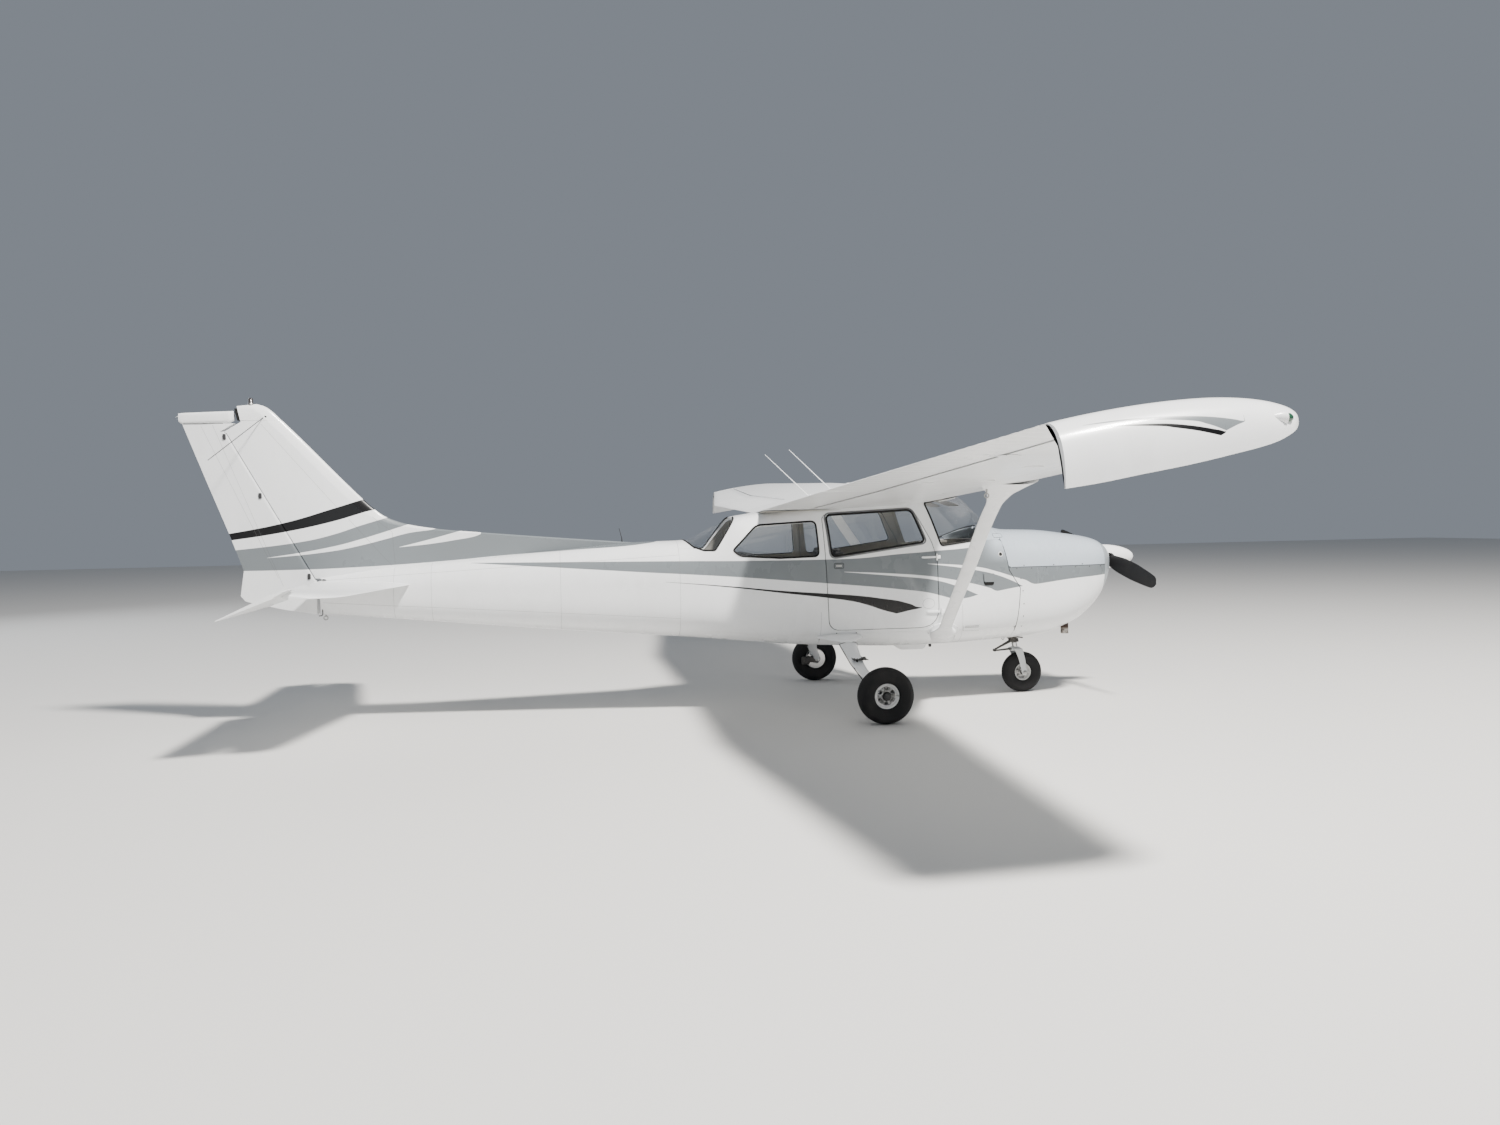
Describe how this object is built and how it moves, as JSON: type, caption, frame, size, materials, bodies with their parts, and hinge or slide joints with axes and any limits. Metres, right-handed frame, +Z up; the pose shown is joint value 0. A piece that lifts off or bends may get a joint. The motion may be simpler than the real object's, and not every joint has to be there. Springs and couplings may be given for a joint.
{
  "type": "light aircraft",
  "caption": "High-wing, single-propeller light aircraft on three fixed wheels, with a strut-braced wing, opening cabin doors and hinged control surfaces.",
  "frame": {"origin": "on the ground, half-way between the spinner tip and the tail light, in the middle of the wing span", "axes": "+X to the nose, +Y to the left wing tip, +Z up"},
  "size_m": [8.25, 10.97, 2.678],
  "materials": {
    "white_skin": "gloss white paint on sheet aluminium, grey and black stripes",
    "grey_skin": "gloss light grey paint on sheet aluminium",
    "fairing": "painted fibreglass, slightly chalky",
    "steel_paint": "white paint on steel",
    "bare_steel": "worn grey, oily",
    "rusty_pipe": "heat-blued and rusty",
    "engine": "plain block",
    "blade": "matt black backs, white fronts",
    "spinner": "gloss white paint",
    "floor": "carpeted",
    "panel": "matt black",
    "seat": "woven, worn",
    "window": "clear acrylic, slightly scratched",
    "lens": "clear lens",
    "red_lens": "red lens",
    "tyre": "dusty black rubber"
  },
  "bodies": {
    "airframe": {"cabin_side_left": "white_skin", "cabin_side_right": "white_skin", "cabin_belly": "white_skin", "cabin_deck": "grey_skin", "cabin_top_rear": "white_skin", "firewall": "bare_steel", "cabin_floor": "floor", "instrument_panel": "panel", "roof_section": "white_skin", "antenna_rear": "panel", "antenna_front": "panel", "windshield": "window", "rear_glass": "window", "side_glass_left": "window", "side_glass_right": "window", "front_seat_left": "seat", "front_seat_right": "seat", "rear_bench": "seat", "cowl_upper": "grey_skin", "cowl_lower": "white_skin", "nose_bowl": "grey_skin", "engine_block": "engine", "exhaust_pipe": "rusty_pipe", "wing_left": "white_skin", "wing_right": "white_skin", "wing_tip_left": "fairing", "wing_tip_right": "fairing", "wing_strut_left": "white_skin", "wing_strut_right": "white_skin", "tail_cone": "white_skin", "stabilizer_left": "white_skin", "stabilizer_right": "white_skin", "fin": "white_skin", "fin_cap": "fairing", "beacon": "red_lens", "main_gear_leg_left": "steel_paint", "main_gear_leg_right": "steel_paint", "nose_strut": "bare_steel"},
    "propeller_unit": {"propeller": "blade", "spinner": "spinner"},
    "wheel_left": {"main_rim_left": "white_skin", "main_tyre_left": "tyre"},
    "wheel_right": {"main_rim_right": "white_skin", "main_tyre_right": "tyre"},
    "nose_steering": {"nose_fork": "bare_steel"},
    "wheel_nose": {"nose_rim": "white_skin", "nose_tyre": "tyre"},
    "cabin_door_left": {"door_left": "white_skin", "door_glass_left": "window"},
    "cabin_door_right": {"door_right": "white_skin", "door_glass_right": "window"},
    "baggage_door": {"baggage_door": "white_skin"},
    "flap_left": {"flap_left": "white_skin"},
    "flap_right": {"flap_right": "white_skin"},
    "aileron_left": {"aileron_left": "white_skin"},
    "aileron_right": {"aileron_right": "white_skin"},
    "elevators": {"elevators": "white_skin"},
    "rudder": {"rudder": "white_skin", "rudder_cap": "fairing", "tail_light": "lens"}
  },
  "joints": [
    {"name": "propeller_spin", "type": "hinge", "parent": "airframe", "child": "propeller_unit", "pos_m": [3.847, 0, 1.215], "axis": [1, 0, 0], "continuous": true},
    {"name": "wheel_left_roll", "type": "hinge", "parent": "airframe", "child": "wheel_left", "pos_m": [1.377, 1.275, 0.222], "axis": [0, 1, 0], "continuous": true},
    {"name": "wheel_right_roll", "type": "hinge", "parent": "airframe", "child": "wheel_right", "pos_m": [1.377, -1.275, 0.222], "axis": [0, 1, 0], "continuous": true},
    {"name": "nose_steer", "type": "hinge", "parent": "airframe", "child": "nose_steering", "pos_m": [2.96008, 0, 0.45], "axis": [-0.1939, 0, 0.981], "range_deg": [-30, 30]},
    {"name": "wheel_nose_roll", "type": "hinge", "parent": "nose_steering", "child": "wheel_nose", "pos_m": [3.028, 0, 0.183], "axis": [0, 1, 0], "continuous": true},
    {"name": "cabin_door_left_hinge", "type": "hinge", "parent": "airframe", "child": "cabin_door_left", "pos_m": [2.075, 0.54, 1.03], "axis": [0.0773, 0, -0.997], "range_deg": [0, 70]},
    {"name": "cabin_door_right_hinge", "type": "hinge", "parent": "airframe", "child": "cabin_door_right", "pos_m": [2.075, -0.54, 1.03], "axis": [-0.0773, 0, 0.997], "range_deg": [0, 70]},
    {"name": "baggage_door_hinge", "type": "hinge", "parent": "airframe", "child": "baggage_door", "pos_m": [0.674, 0.522, 1], "axis": [0, 0, -1], "range_deg": [0, 85]},
    {"name": "flap_left_hinge", "type": "hinge", "parent": "airframe", "child": "flap_left", "pos_m": [0.957, 0.57, 1.5645], "axis": [0, -0.9991, -0.043], "range_deg": [0, 40]},
    {"name": "flap_right_hinge", "type": "hinge", "parent": "airframe", "child": "flap_right", "pos_m": [0.957, -0.57, 1.5645], "axis": [0, -0.9991, 0.043], "range_deg": [0, 40]},
    {"name": "aileron_left_hinge", "type": "hinge", "parent": "airframe", "child": "aileron_left", "pos_m": [0.9661, 2.656, 1.8369], "axis": [0.078, 0.9948, 0.0648], "range_deg": [-15, 20]},
    {"name": "aileron_right_hinge", "type": "hinge", "parent": "airframe", "child": "aileron_right", "pos_m": [0.9661, -2.656, 1.8369], "axis": [-0.078, 0.9948, -0.0648], "range_deg": [-15, 20]},
    {"name": "elevator_hinge", "type": "hinge", "parent": "airframe", "child": "elevators", "pos_m": [-3.033, 0, 1.15], "axis": [0, 1, 0], "range_deg": [0, 51]},
    {"name": "rudder_hinge", "type": "hinge", "parent": "airframe", "child": "rudder", "pos_m": [-3.091, 0, 1.159], "axis": [-0.4767, 0, 0.8791], "range_deg": [-17.7, 17.7]}
  ],
  "couplings": [
    {"joint": "flap_right_hinge", "follows": "flap_left_hinge", "ratio": 1},
    {"joint": "aileron_right_hinge", "follows": "aileron_left_hinge", "ratio": -0.75}
  ]
}
